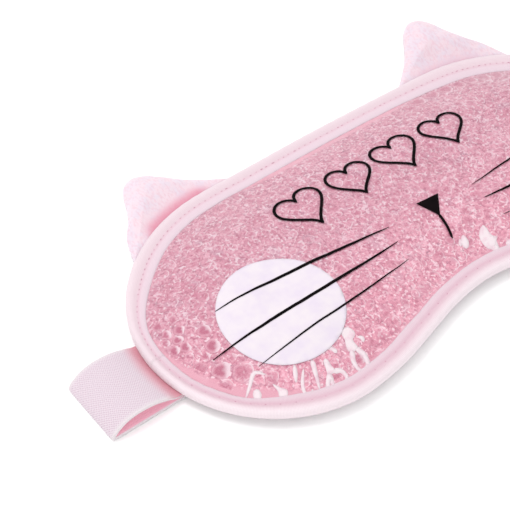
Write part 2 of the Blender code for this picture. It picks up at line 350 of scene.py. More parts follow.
def measure_press(points):
    """How far the beads lift the film, and how far it sinks between them."""
    press = np.zeros(len(points))
    inside = np.flatnonzero(inset_of(points) > binding_width(points))
    for start in range(0, len(inside), 2000):
        chosen = inside[start : start + 2000]
        apart = points[chosen][:, None, :] - BEADS[None, :, :2]
        reach = np.sqrt((apart**2).sum(axis=2)) / BEADS[:, 2]
        first, second = np.partition(reach, 1, axis=1)[:, :2].T
        on_bead = smoothstep(0.0, 0.55, second - first)
        press[chosen] = on_bead * BEAD_LIFT[reach.argmin(axis=1)] - (1 - on_bead) * 0.06 * MM
    return press * ease(0, 2, inset_of(points) - binding_width(points))


bead_press = on_grid(measure_press, 0.35 * MM)


def film_height(points):
    return dome(points) + bead_press(points)


# === Mesh building ===


def new_piece(name, points, faces, surface):
    """A smooth-shaded piece with its faces turned outwards."""
    mesh = bpy.data.meshes.new(name)
    mesh.from_pydata([tuple(p) for p in points], [], [tuple(f) for f in faces])
    mesh.validate()
    bm = bmesh.new()
    bm.from_mesh(mesh)
    bmesh.ops.recalc_face_normals(bm, faces=bm.faces)
    bm.to_mesh(mesh)
    bm.free()
    mesh.shade_smooth()
    mesh.materials.append(surface)
    obj = bpy.data.objects.new(name, mesh)
    bpy.context.scene.collection.objects.link(obj)
    return obj


def on_pad(obj, slot, *replaced):
    """Makes a piece part of the pad, in place of the CAD nodes named."""
    if replaced:
        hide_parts(*replaced)
    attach(obj, "pad")


def points_inside(points, boundary, margin):
    """Which points lie inside a closed outline and at least a margin from its corners."""
    inside = np.zeros(len(points), dtype=bool)
    nearest = np.full(len(points), np.inf)
    for (x1, y1), (x2, y2) in zip(boundary, np.roll(boundary, -1, axis=0)):
        spans = (y1 > points[:, 1]) != (y2 > points[:, 1])
        inside ^= spans & (points[:, 0] < (x2 - x1) * (points[:, 1] - y1) / (y2 - y1 or 1.0) + x1)
        nearest = np.minimum(nearest, ((points - (x1, y1)) ** 2).sum(axis=1))
    return inside & (nearest > margin**2)


def plan_solid(name, boundary, spacing, top, bottom, surface):
    """A closed sheet or slab over a flat outline, between two heights given as functions of (x, y)."""
    low, high = boundary.min(axis=0), boundary.max(axis=0)
    inner = [
        (x, y)
        for j, y in enumerate(np.arange(low[1], high[1], spacing * 0.866))
        for x in np.arange(low[0] + (spacing / 2 if j % 2 else 0.0), high[0], spacing)
    ]
    inner = np.array(inner)
    points = np.vstack([boundary, inner[points_inside(inner, boundary, 0.45 * spacing)]])
    rim = list(range(len(boundary)))
    corners, _, faces, *_ = geometry.delaunay_2d_cdt([Vector(p) for p in points], [], [rim], 1, 1e-9)
    plan = np.array([tuple(c) for c in corners])
    count = len(plan)
    under = [tuple(count + i for i in f[::-1]) for f in faces]
    side = [(a, count + a, count + b, b) for a, b in zip(rim, rim[1:] + rim[:1])]
    points = np.vstack([np.column_stack([plan, top(plan)]), np.column_stack([plan, bottom(plan)])])
    return new_piece(name, points, list(faces) + under + side, surface)


def set_uv(obj, name, per_vertex):
    """A UV layer whose value at each corner is its vertex's."""
    layer = obj.data.uv_layers.new(name=name)
    index = np.empty(len(obj.data.loops), dtype=np.int32)
    obj.data.loops.foreach_get("vertex_index", index)
    layer.data.foreach_set("uv", np.asarray(per_vertex, np.float32)[index].ravel())


def set_value(obj, name, per_vertex):
    attribute = obj.data.attributes.new(name, "FLOAT", "POINT")
    attribute.data.foreach_set("value", np.asarray(per_vertex, np.float32))


def tube_faces(rows, columns, joined):
    """Quads over rows of points, each row closed, and the last row joined to the first where asked."""
    faces = []
    for i in range(rows if joined else rows - 1):
        for j in range(columns):
            k, m = (i + 1) % rows, (j + 1) % columns
            faces.append((i * columns + j, k * columns + j, k * columns + m, i * columns + m))
    return faces


def capped_tube(rows, columns):
    last = (rows - 1) * columns
    caps = [tuple(range(columns)), tuple(range(last + columns - 1, last - 1, -1))]
    return tube_faces(rows, columns, False) + caps


# === Materials ===


def seen(red, green, blue):
    """The surface colour that looks like these 0 to 255 display values under the studio's light."""
    shares = [c / 255 for c in (red, green, blue)]
    linear = (c / 12.92 if c <= 0.04045 else ((c + 0.055) / 1.055) ** 2.4 for c in shares)
    return tuple(c / LIGHT_LEVEL for c in linear)


class Surface:
    """A material's node tree, built a node at a time."""

    def __init__(self, name):
        self.material = bpy.data.materials.new(name)
        self.material.use_nodes = True
        self.tree = self.material.node_tree
        self.tree.nodes.clear()
        self.output = self.tree.nodes.new("ShaderNodeOutputMaterial")

    def node(self, kind, settings=None, **inputs):
        """A node with its settings, and its inputs by name, or as _0, _1 and so on by place."""
        made = self.tree.nodes.new("ShaderNode" + kind)
        for key, value in (settings or {}).items():
            setattr(made, key, value)
        for key, value in inputs.items():
            if key[0] == "_":
                socket = made.inputs[int(key[1:])]
            else:
                socket = next(s for s in made.inputs if s.name == key.replace("_", " ") and s.enabled)
            if isinstance(value, bpy.types.NodeSocket):
                self.tree.links.new(value, socket)
            elif socket.type == "RGBA":
                socket.default_value = (*value, 1.0)
            else:
                socket.default_value = value
        return made

    def math(self, operation, a, b=0.0, c=0.5):
        return self.node("Math", {"operation": operation}, _0=a, _1=b, _2=c).outputs[0]

    def times(self, a, b):
        return self.math("MULTIPLY", a, b)

    def plus(self, a, b):
        return self.math("ADD", a, b)

    def scaled(self, value, by, plus=0.5):
        return self.math("MULTIPLY_ADD", value, by, plus)

    def between(self, value, low, high):
        """0 where a value is at or below low, rising to 1 at high."""
        smooth = {"interpolation_type": "SMOOTHSTEP"}
        return self.node("MapRange", smooth, _0=value, _1=low, _2=high).outputs[0]

    def noise(self, scale, detail, where):
        return self.node("TexNoise", Scale=scale, Detail=detail, Vector=where).outputs["Fac"]

    def position(self):
        return self.node("TexCoord").outputs["Object"]

    def uv(self, name):
        return self.node("UVMap", {"uv_map": name}).outputs["UV"]

    def value(self, name):
        return self.node("Attribute", {"attribute_name": name}).outputs["Fac"]

    def ramp(self, factor, stops):
        made = self.node("ValToRGB", Fac=factor)
        ramp = made.color_ramp
        while len(ramp.elements) < len(stops):
            ramp.elements.new(0.5)
        for element, (place, colour) in zip(ramp.elements, stops):
            element.position = place
            element.color = (*colour, 1.0)
        return made.outputs["Color"]

    def mix(self, factor, first, second, blend="MIX"):
        settings = {"data_type": "RGBA", "blend_type": blend}
        return self.node("Mix", settings, _0=factor, _6=first, _7=second).outputs[2]

    def tint(self, colour, where, strength, red, green, blue):
        """A colour with another over it where a value is high, the other given as it is seen."""
        return self.mix(self.times(where, strength), colour, seen(red, green, blue))

    def wave(self, value, length):
        return self.math("SINE", self.times(value, 2 * math.pi / length))

    def bump(self, height, distance, strength):
        return self.node("Bump", Strength=strength, Distance=distance, Height=height).outputs["Normal"]

    def two_shaders(self, share, first, second):
        return self.node("MixShader", _0=share, _1=first.outputs[0], _2=second.outputs[0])

    def principled(self, **inputs):
        return self.node("BsdfPrincipled", **inputs)

    def finish(self, shader):
        self.tree.links.new(shader.outputs[0], self.output.inputs["Surface"])
        return self.material

    def plain(self, **inputs):
        return self.finish(self.principled(**inputs))


# The tape's colours as seen, by how far they are from its inner edge over the top, where 1 is 10 mm. The
# lightest, over the rolled outer edge and down its outer side, are painted light.
BROW_TAPE_COLOURS = {
    0.0: (252, 232, 242),
    0.25: (254, 231, 241),
    0.34: (251, 218, 230),
    0.45: (255, 232, 240),
    0.75: (258, 241, 247),
}
NOSE_TAPE_COLOURS = {
    0.0: (251, 231, 240),
    0.2: (250, 222, 233),
    0.34: (246, 208, 222),
    0.5: (249, 220, 230),
    0.75: (270, 256, 261),
}


def binding_material():
    """Fine woven tape, its weave given by how far along and across the tape a point is."""
    s = Surface("binding_tape")
    place = s.node("SeparateXYZ", Vector=s.uv("tape"))
    rib = s.wave(place.outputs["X"], 0.42)
    weave = s.wave(place.outputs["Y"], 0.5)
    cloth = s.plus(rib, s.times(weave, 0.5))
    across = s.math("DIVIDE", place.outputs["Y"], 10.0)
    brow, nose = (
        s.ramp(across, [(share, seen(*colour)) for share, colour in stops.items()])
        for stops in (BROW_TAPE_COLOURS, NOSE_TAPE_COLOURS)
    )
    colour = s.mix(s.value("nose"), brow, nose)
    shade = s.ramp(s.scaled(cloth, 0.33), [(0.0, (0.84, 0.77, 0.81)), (1.0, (1, 1, 1))])
    colour = s.mix(0.8, colour, shade, "MULTIPLY")
    normal = s.bump(cloth, 0.05 * MM, 0.5)
    return s.plain(Base_Color=colour, Roughness=0.75, Sheen_Weight=0.2, Normal=normal)


def plush_material(name, pale, cool, deep):
    """Short-pile plush, mottled where the pile lies different ways, with painted shade of a deeper pink in
    its folds.
    """
    s = Surface(name)
    where = s.position()
    lie = s.noise(260.0, 3.0, where)
    combed = s.node("VectorMath", {"operation": "MULTIPLY"}, _0=where, _1=(1.0, 0.4, 0.6))
    pile = s.noise(1500.0, 3.0, combed.outputs[0])
    colour = s.mix(s.between(lie, 0.40, 0.62), pale, cool)
    # Painted shade: a deeper pink in the folds, broken up by the pile.
    painted_crease_shade = s.plus(s.value("painted_crease_shade"), s.math("SUBTRACT", s.times(pile, 0.4), 0.2))
    colour = s.mix(s.between(painted_crease_shade, 0.1, 1.0), colour, deep)
    shade = s.times(s.between(pile, 0.56, 0.34), 0.22)
    colour = s.mix(shade, colour, deep)
    height = s.plus(pile, s.times(lie, 0.5))
    normal = s.bump(height, 0.25 * MM, 0.5)
    return s.plain(Base_Color=colour, Roughness=0.95, Sheen_Weight=0.35, Normal=normal)


def elastic_material():
    """Knitted elastic: a dot at each crossing of its ribs, pale selvedges, painted pink light and a painted
    glow inside its fold, and painted pink shade next to the pad.
    """
    s = Surface("elastic_webbing")
    place = s.node("SeparateXYZ", Vector=s.uv("strap"))
    along = s.wave(place.outputs["X"], 0.9)
    across = s.wave(place.outputs["Y"], 0.86)
    dots = s.times(along, across)
    knit = s.ramp(
        s.scaled(dots, 0.5),
        [(0.0, seen(205, 168, 192)), (0.35, seen(244, 224, 237)), (1.0, seen(255, 246, 251))],
    )
    worn = s.mix(s.times(s.noise(60.0, 1.0, s.position()), 0.6), knit, seen(246, 230, 241))
    # Inside the fold: painted pink light, as if coming through the knit.
    colour = s.mix(s.value("inner"), worn, seen(247, 190, 207))
    colour = s.mix(s.value("selvedge"), colour, seen(255, 246, 250))
    # Painted shade: a deeper pink next to the pad, where the strap runs under the binding.
    colour = s.mix(s.value("painted_contact_shade"), colour, seen(250, 174, 189))
    relief = s.plus(dots, s.times(across, 0.8))
    normal = s.bump(relief, 0.08 * MM, 0.5)
    # Inside the fold the knit glows: painted light, not a lamp.
    lit = {"Emission_Color": colour, "Emission_Strength": s.times(s.value("inner"), 0.42)}
    cloth = s.principled(Base_Color=colour, Roughness=0.8, Sheen_Weight=0.2, Normal=normal, **lit)
    glow = s.node("BsdfTranslucent", Color=colour)
    return s.finish(s.two_shaders(0.10, cloth, glow))


def thread_material():
    s = Surface("sewing_thread")
    twist = s.noise(3000.0, 1.0, s.position())
    colour = s.ramp(twist, [(0.3, seen(206, 132, 164)), (0.7, seen(232, 172, 194))])
    return s.plain(Base_Color=colour, Roughness=0.6)


def curled_lines(s, scale, half_width, where):
    """Thin curling lines: the level lines of a soft noise, in broken lengths."""
    level = s.math("ABSOLUTE", s.math("SUBTRACT", s.noise(scale, 1.0, where), 0.5))
    line = s.between(level, half_width, 0.4 * half_width)
    shown = s.between(s.noise(0.7 * scale, 0.0, where), 0.53, 0.60)
    return s.times(line, shown)


def gel_colour(s):
    """Crumpled, clouded pink gel with curling lines in it: dark ones painted as shade along the beads' edges,
    bright ones and small spots painted as glints.
    """
    where = s.position()
    swirl = s.node("TexNoise", Vector=where, Scale=420.0, Detail=2.0)
    shift = s.node("VectorMath", {"operation": "SCALE"}, _0=swirl.outputs["Color"], Scale=1.5 * MM)
    bent = s.node("VectorMath", {"operation": "ADD"}, _0=where, _1=shift.outputs[0]).outputs[0]
    shard = s.node("TexVoronoi", Vector=bent, Scale=420.0).outputs["Color"]
    tone = s.scaled(s.noise(80.0, 2.0, where), 0.26, 0.15)
    tone = s.scaled(s.noise(480.0, 2.0, bent), 0.26, tone)
    tone = s.scaled(s.noise(1300.0, 2.0, where), 0.80, tone)
    tone = s.scaled(s.node("SeparateColor", Color=shard).outputs[0], 0.12, tone)
    tone = s.scaled(s.value("tint"), 0.08, tone)
    body = s.ramp(
        tone,
        [
            (0.68, seen(212, 146, 166)),
            (0.82, seen(230, 166, 185)),
            (0.93, seen(240, 180, 198)),
            (1.0, seen(247, 198, 213)),
        ],
    )
    pale = s.between(tone, 1.0, 1.16)
    body = s.tint(body, pale, 0.9, 254, 228, 238)
    grey = s.between(s.noise(190.0, 2.0, where), 0.56, 0.70)
    body = s.tint(body, grey, 0.5, 216, 182, 198)
    # Painted shade: dark curling lines along the beads' edges.
    dark = curled_lines(s, 500.0, 0.05, bent)
    body = s.tint(body, dark, 0.55, 196, 116, 142)
    # Painted glints: bright curling lines, then small bright spots.
    bright = curled_lines(s, 330.0, 0.035, bent)
    body = s.tint(body, bright, 0.9, 255, 232, 241)
    painted_glint_fleck = s.between(s.noise(1050.0, 0.0, bent), 0.645, 0.69)
    body = s.tint(body, painted_glint_fleck, 0.95, 255, 238, 245)
    pit = s.between(s.noise(900.0, 0.0, where), 0.37, 0.31)
    body = s.tint(body, pit, 0.7, 196, 124, 150)
    speck = s.times(
        s.between(s.noise(2600.0, 0.0, where), 0.66, 0.72),
        s.between(s.noise(240.0, 1.0, where), 0.60, 0.66),
    )
    body = s.tint(body, speck, 0.7, 140, 110, 132)
    nose = s.between(s.node("SeparateXYZ", Vector=where).outputs["Y"], 14 * MM, -34 * MM)
    side = s.mix(nose, (0.92, 0.87, 0.89), (1.10, 1.0, 1.02))
    return s.mix(1.0, body, side, "MULTIPLY")


def bead_material():
    """A gel bead under the film: large ones have a deeper core and a pale ring; its rim has a painted
    highlight on the side towards the light and painted shade on the other, and some have a painted highlight
    patch on the lit side.
    """
    s = Surface("gel_bead")
    body = gel_colour(s)
    body = s.tint(body, s.value("core"), 0.7, 224, 158, 178)
    core = s.times(s.value("core"), s.between(s.value("rim"), 0.85, 0.35))
    glow = s.times(s.value("ring"), s.between(s.value("rim"), 0.45, 0.8))
    body = s.tint(body, glow, 0.35, 250, 212, 224)
    body = s.tint(body, core, 0.85, 198, 108, 138)
    # Painted highlight: a pale patch on the side of the bead towards the light.
    body = s.mix(s.value("patch"), body, seen(254, 236, 244))
    # The rim: painted shade on the side away from the light, and a painted highlight on the side towards it.
    rim = s.times(s.between(s.value("rim"), 0.80, 0.90), s.value("ring"))
    shaded = s.times(rim, s.between(s.value("facing"), 0.0, -0.7))
    body = s.tint(body, shaded, 0.6, 198, 118, 145)
    lit = s.times(rim, s.between(s.value("facing"), 0.1, 0.75))
    body = s.mix(lit, body, seen(255, 236, 244))
    return s.plain(Base_Color=body, Roughness=0.3, IOR=1.34, Coat_Weight=0.15, Coat_Roughness=0.1)


def bed_material():
    """The gel between the beads, clear and smooth along the welded margin."""
    s = Surface("gel_liquid")
    colour = s.mix(s.value("margin"), gel_colour(s), seen(244, 182, 200))
    return s.plain(Base_Color=colour, Roughness=0.3, Coat_Weight=0.3)


def air_material():
    """Trapped air: painted white for the light it reflects, with a faint pink cloud in it."""
    s = Surface("trapped_air")
    cloud = s.between(s.noise(420.0, 2.0, s.position()), 0.45, 0.7)
    colour = s.mix(cloud, seen(255, 242, 247), seen(250, 222, 233))
    return s.plain(Base_Color=colour, Roughness=0.2, Coat_Weight=0.3)


def film_material():
    """Clear film: seen through straight on, and mirror-like at its bumps and towards the horizon."""
    s = Surface("clear_film")
    ripple = s.bump(s.noise(900.0, 2.0, s.position()), 0.05 * MM, 0.4)
    fresnel = s.node("Fresnel", IOR=1.45, Normal=ripple)
    outside = s.math("SUBTRACT", 1.0, s.node("NewGeometry").outputs["Backfacing"])
    through = s.node("BsdfTransparent", Color=(1.0, 0.98, 0.985))
    shine = s.node("BsdfGlossy", Roughness=0.08, Normal=ripple)
    return s.finish(s.two_shaders(s.times(fresnel.outputs[0], outside), through, shine))


def ink_material(name, colour, other):
    s = Surface(name)
    patch = s.noise(200.0, 2.0, s.position())
    tint = s.ramp(patch, [(0.35, other), (0.65, colour)])
    return s.plain(Base_Color=tint, Roughness=0.7, Specular_IOR_Level=0.06)


# === Pieces ===


def film_underside(points):
    return film_height(points) - FILM_THICKNESS


def make_film():
    outline = offset_outline(FILM_EDGE_INSET, 2)
    film = plan_solid("window_film_soft", outline, 0.85 * MM, film_height, film_underside, film_material())
    on_pad(film, "window_film", "window_film")


def bead_top(points):
    """The level that the beads lie against, just under the film."""
    return dome(points) - FILM_THICKNESS - GEL_GAP


def bed_top(points):
    """The gel's level between the beads."""
    margin = bare_margin(points)
    depth = 0.06 * MM * smoothstep(margin - 0.8 * MM, margin + 1 * MM, inset_of(points))
    return bead_top(points) - depth


def panel_top(points):
    """The plush panel's upper side, which sinks from the sewn edge to the middle."""
    share = ease(8, 20, inset_of(points))
    return PANEL_TOP - 2.0 * MM * share - 0.4 * edge_drop(points)


def bed_underside(points):
    return panel_top(points) + 0.3 * MM


def make_bed():
    outline = offset_outline(FILM_EDGE_INSET + 0.5 * MM, 3)
    bed = plan_solid("gel_liquid_soft", outline, 1.1 * MM, bed_top, bed_underside, bed_material())
    points = flat_points(bed)
    beyond = inset_of(points) - bare_margin(points)
    set_value(bed, "margin", 1 - ease(-1.0, 0.2, beyond))
    on_pad(bed, "gel_beads", "back_film")


# A bead's upright profile: how wide it is, and how far below its flat top, both as shares of its size.
BEAD_PROFILE = [
    (0.45, 0.0), (0.74, 0.01), (0.88, 0.03), (0.96, 0.07),
    (1.0, 0.14), (0.97, 0.50), (0.78, 0.90), (0.38, 1.05),
]


def bead_piece(name, beads, cells, lifts, surface, generator):
    """Many separate gel beads as one piece, each pressed flat against the film and its neighbours."""
    rings = len(BEAD_PROFILE)
    count = rings * CELL_SIDES + 2
    last = (rings - 1) * CELL_SIDES
    shell = tube_faces(rings, CELL_SIDES, False)
    shell += [(j, (j + 1) % CELL_SIDES, count - 2) for j in range(CELL_SIDES)]
    shell += [(last + (j + 1) % CELL_SIDES, last + j, count - 1) for j in range(CELL_SIDES)]
    widths, drops = np.array(BEAD_PROFILE).T
    drop = np.concatenate([np.repeat(drops, CELL_SIDES), [0.0, 1.08]])
    rim = np.concatenate([np.repeat(widths, CELL_SIDES), [0.0, 1.0]])
    rim[5 * CELL_SIDES : -2] = 1.0
    large = ease(1.9, 2.7, beads[:, 2])
    depths = 0.45 * beads[:, 2]
    depths = np.minimum(depths, bead_top(beads[:, :2]) - panel_top(beads[:, :2]) - 0.5 * MM)
    points, faces, values = [], [], []
    for (x, y, _, core), cell, depth, lift, big in zip(beads, cells, depths, lifts, large):
        ground = (widths[:, None, None] * (CELL_RAYS * cell[:, None])[None]).reshape(-1, 2)
        ground = np.vstack([ground, [(0, 0), (0, 0)]]) + (x, y)
        base = len(points) * count
        faces += [tuple(base + v for v in f) for f in shell]
        points.append(np.column_stack([ground, bead_top(ground) + lift - drop * depth]))
        # Which way the light falls on this bead, for the painted highlight and shade on its rim and its
        # painted highlight patch.
        lit_from = math.radians(-50 + 60 * generator.random())
        facing = np.append(np.cos(np.tile(CELL_ANGLES, rings) - lit_from), [0.0, 0.0])
        patch = smoothstep(0.25, 0.6, rim * facing)
        tint = generator.random()
        ring = max(0.9 * big, 0.95 * generator.random() ** 1.5)
        shown_core = max(core, 0.45 * generator.random() ** 2)
        patch *= (core > 0.55) * (generator.random() < 0.5) * 0.9
        whole = np.ones(count)
        values.append(np.array([whole * tint, rim, facing, whole * ring, whole * shown_core, patch]))
    obj = new_piece(name, np.vstack(points), faces, surface)
    for key, per_bead in zip(("tint", "rim", "facing", "ring", "core", "patch"), np.hstack(values)):
        set_value(obj, key, per_bead)
    return obj


def make_beads():
    surface = bead_material()
    generator = np.random.default_rng(SEED + 1)
    cells = pressed_cells()
    thirds = np.digitize(BEADS[:, 0], [-32 * MM, 32 * MM])
    for third, name in enumerate(("gel_beads_left", "gel_beads_middle", "gel_beads_right")):
        chosen = thirds == third
        piece = bead_piece(name, BEADS[chosen], cells[chosen], BEAD_LIFT[chosen], surface, generator)
        on_pad(piece, "gel_beads", *(["gel_bead_fill"] if third == 1 else []))


# The folded tape's cross section, from its inner edge on top round to its inner edge below, and back inside
# the fold. Each point is its distance in from the outline, as a share of the tape's width, and its height in
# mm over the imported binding's top, its bottom and its top in turn.
TAPE_OVER = [
    (1.0, -0.22), (0.97, -0.02), (0.82, 0.16), (0.66, 0.12), (0.58, -0.05), (0.54, -0.05),
    (0.46, 0.16), (0.34, 0.42), (0.22, 0.42), (0.10, 0.0), (0.03, -0.8), (0.0, -1.9),
]
TAPE_UNDER = [
    (0.0, 1.0), (0.04, 0.35), (0.15, -0.05), (0.36, -0.1), (0.72, 0.02),
    (1.0, 0.05), (1.0, 0.45), (0.48, 0.4), (0.19, 0.5), (0.08, 1.2),
]
TAPE_INSIDE = [(0.07, -1.7), (0.18, -0.7), (0.48, -0.65), (1.0, -0.95)]
TAPE_STEP = 0.6 * MM
PUCKER_LENGTH = 4.9 * MM


def binding_section():
    levels = ((TAPE_OVER, BINDING_HIGH), (TAPE_UNDER, BINDING_LOW), (TAPE_INSIDE, BINDING_HIGH))
    corners = [(share * BROW_WIDTH, level + up * MM) for points, level in levels for share, up in points]
    corners = np.array(corners)
    section = []
    for a, b in zip(corners, np.roll(corners, -1, axis=0)):
        pieces = max(1, round(np.linalg.norm(b - a) / TAPE_STEP))
        section += [a + (b - a) * i / pieces for i in range(pieces)]
    return np.array(section)


def make_binding():
    section = binding_section()
    inward, level = section.T
    arc = np.arange(OUTLINE_POINTS) * OUTLINE_STEP
    sway = waves(OUTLINE, 14 * MM, SEED + 3)[:, None]
    pucker = 0.06 * MM * np.sin(2 * math.pi * arc / PUCKER_LENGTH)[:, None]
    upper = smoothstep(EDGE_MIDDLE, BINDING_HIGH, level)
    height = level + upper * (pucker + 0.10 * MM * sway - edge_drop(OUTLINE)[:, None])
    inset = inward * binding_width(OUTLINE)[:, None] / BROW_WIDTH
    inset = inset + upper * ease(5, 8, inward) * 0.3 * MM * sway
    ground = OUTLINE[:, None] - OUTWARD[:, None] * inset[..., None]
    points = np.dstack([ground, height]).reshape(-1, 3)
    faces = tube_faces(OUTLINE_POINTS, len(section), True)
    obj = new_piece("edge_binding_soft", points, faces, binding_material())
    uv = np.column_stack([np.repeat(arc, len(section)), np.tile(run_along(section), OUTLINE_POINTS)])
    set_uv(obj, "tape", uv / MM)
    set_value(obj, "nose", nose_side(points[:, :2]))
    on_pad(obj, "binding_tape", "edge_binding")


STITCH_PITCH = 2.45 * MM
STITCH_RADIUS = 0.11 * MM
STITCH_SIDES = 6
STITCH_STEPS = 7


def make_stitches():
    """The seam's upper thread: short stitches on the tape, and fewer of them along the nose side."""
    surface = thread_material()
    generator = np.random.default_rng(SEED + 2)
    count = round(OUTLINE_POINTS * OUTLINE_STEP / STITCH_PITCH)
    stitch = capped_tube(STITCH_STEPS, STITCH_SIDES)
    share = np.linspace(0, 1, STITCH_STEPS)
    arch = np.sin(share * math.pi)
    turn = np.arange(STITCH_SIDES) * 2 * math.pi / STITCH_SIDES
    thick = STITCH_RADIUS * (0.4 + 0.6 * arch**0.5)
    across, up = thick[:, None] * np.cos(turn), thick[:, None] * np.sin(turn)
    points, faces = [], []
    for k in range(count):
        middle = (k + 0.25 * generator.random()) / count * OUTLINE_POINTS
        nose = float(nose_side(OUTLINE[int(middle) % OUTLINE_POINTS]))
        if nose > 0.5 and k % 2:
            continue
        length = (0.35 + (0.9 - 0.7 * nose) * generator.random()) * MM
        sideways = 0.12 * MM * (generator.random() - 0.5)
        at = middle + (share - 0.5) * length / OUTLINE_STEP
        low = np.floor(at).astype(int)
        part = (at - low)[:, None]
        here = OUTLINE[low % OUTLINE_POINTS] * (1 - part) + OUTLINE[(low + 1) % OUTLINE_POINTS] * part
        out = OUTWARD[low % OUTLINE_POINTS]
        centre = here - out * (0.56 * binding_width(here) + sideways)[:, None]
        height = BINDING_HIGH - edge_drop(here) - 0.12 * MM + 0.12 * MM * arch
        ground = centre[:, None] + out[:, None] * across[..., None]
        faces += [tuple(len(points) * len(up) * len(turn) + v for v in f) for f in stitch]
        points.append(np.dstack([ground, height[:, None] + up]).reshape(-1, 3))
    on_pad(new_piece("needle_stitches", np.vstack(points), faces, surface), "thread", "needle_thread")
    for name in ("bobbin_thread_brow", "bobbin_thread_nose"):
        node = frame["nodes"][name]
        node.data.materials.clear()
        node.data.materials.append(surface)


def make_back_panel():
    strap_low, strap_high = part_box("strap_band")

    def underside(points):
        share = ease(6.5, 20, inset_of(points))
        height = (BINDING_LOW + 0.8 * MM) * (1 - share)
        side = np.maximum(strap_low.y - points[:, 1], points[:, 1] - strap_high.y)
        over_strap = 1 - ease(0.2, 2.0, side)
        return np.maximum(height, over_strap * (strap_high.z + 0.3 * MM))

    def upper_side(points):
        return np.maximum(panel_top(points), underside(points) + 0.6 * MM)

    surface = plush_material("back_plush", seen(248, 226, 236), seen(242, 224, 238), seen(236, 190, 206))
    outline = offset_outline(1.6 * MM, 2)
    panel = plan_solid("back_panel_soft", outline, 1.6 * MM, upper_side, underside, surface)
    # Painted shade in a deeper pink near the sewn edge.
    set_value(panel, "painted_crease_shade", 1 - ease(6, 11, inset_of(flat_points(panel))))
    on_pad(panel, "back_plush", "back_panel")


# === Printing ===

INK = 0.05 * MM  # the ink's thickness
CHEEK_LIFT = 0.06 * MM  # the cheek discs' height over the film
INK_LIFT = 0.2 * MM  # the drawn lines' height over the film, above the cheek discs
CHEEK_RADIUS = 20 * MM
CHEEK_MIDDLE = (63.5 * MM, -12.0 * MM)
NOSE = [(-0.9, -4.4), (8.0, -5.2), (2.6, -12.0), (1.8, -12.0)]  # its corners in mm
NOSE_STEM = [(2.2, -11.4), (1.4, -16.4), (-0.3, -21.4)]  # in mm
NOSE_STEM_HALF_WIDTH = (0.5 * MM, 0.075 * MM)

# The drawn whiskers, each from its outer end past a bend to its inner end, and half its width, in mm.
WHISKERS = {
    "left": [
        ((-80, -0.6), (-44, -2.8), (-15.1, -6.9), 0.56),
        ((-90.6, -13.6), (-54, -15.0), (-16.6, -12.9), 0.56),
        ((-81.4, -24.0), (-50, -23.6), (-17.9, -19.9), 0.32),
    ],
    "right": [
        ((84, -3.5), (54, -7.6), (20, -8.9), 0.40),
        ((90, -18), (50, -20.5), (19.7, -15.2), 0.62),
        ((81, -28), (50, -29.2), (20.4, -23.5), 0.38),
    ],
}

# Each heart's middle in mm, its width in mm and its turn.
HEARTS = [
    ((-30.8, 16.5), 18.0, 0.10),
    ((-9.6, 17.2), 16.5, -0.06),
    ((11.0, 17.5), 17.5, 0.05),
    ((31.6, 16.5), 16.5, -0.10),
]
HEART_LINE = 0.52 * MM  # half the drawn line's width

